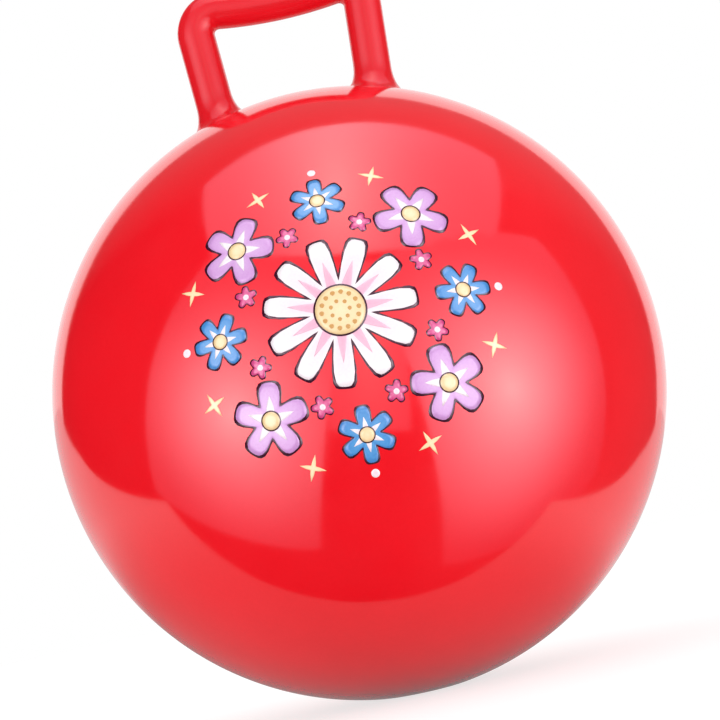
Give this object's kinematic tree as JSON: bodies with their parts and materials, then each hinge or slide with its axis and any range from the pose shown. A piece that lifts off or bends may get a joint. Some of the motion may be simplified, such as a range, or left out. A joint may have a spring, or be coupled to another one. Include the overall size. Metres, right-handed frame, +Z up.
{
  "type": "hopper ball",
  "caption": "Inflated glossy vinyl ball with a hollow loop handle on top and a plugged air valve low on the back, for a child to sit on and bounce.",
  "frame": {"origin": "middle of the flat that the ball rests on", "axes": "+Z up through the crown and the handle, +X along the grip, +Y to the back, where the valve is"},
  "size_m": [0.4499, 0.45, 0.5457],
  "materials": {
    "red_vinyl": "gloss",
    "valve_vinyl": "satin",
    "plug_plastic": "satin",
    "print_ink": "gloss"
  },
  "bodies": {
    "ball": {"ball_skin": "red_vinyl", "handle_foot_left": "red_vinyl", "handle_foot_right": "red_vinyl", "handle_neck_left": "red_vinyl", "handle_neck_right": "red_vinyl", "valve_seat": "valve_vinyl"},
    "handle": {"handle_loop": "red_vinyl"},
    "plug": {"valve_plug": "plug_plastic"}
  },
  "joints": [
    {"name": "handle_rock", "type": "hinge", "parent": "ball", "child": "handle", "pos_m": [0, 0, 0.4776], "axis": [1, 0, 0], "range_deg": [-20, 20], "stiffness_Nm_per_rad": 6, "deforming": ["handle_neck_left", "handle_neck_right"]},
    {"name": "plug_pull", "type": "slide", "parent": "ball", "child": "plug", "axis": [0, 0.866, -0.5], "range_m": [0, 0.02]}
  ]
}
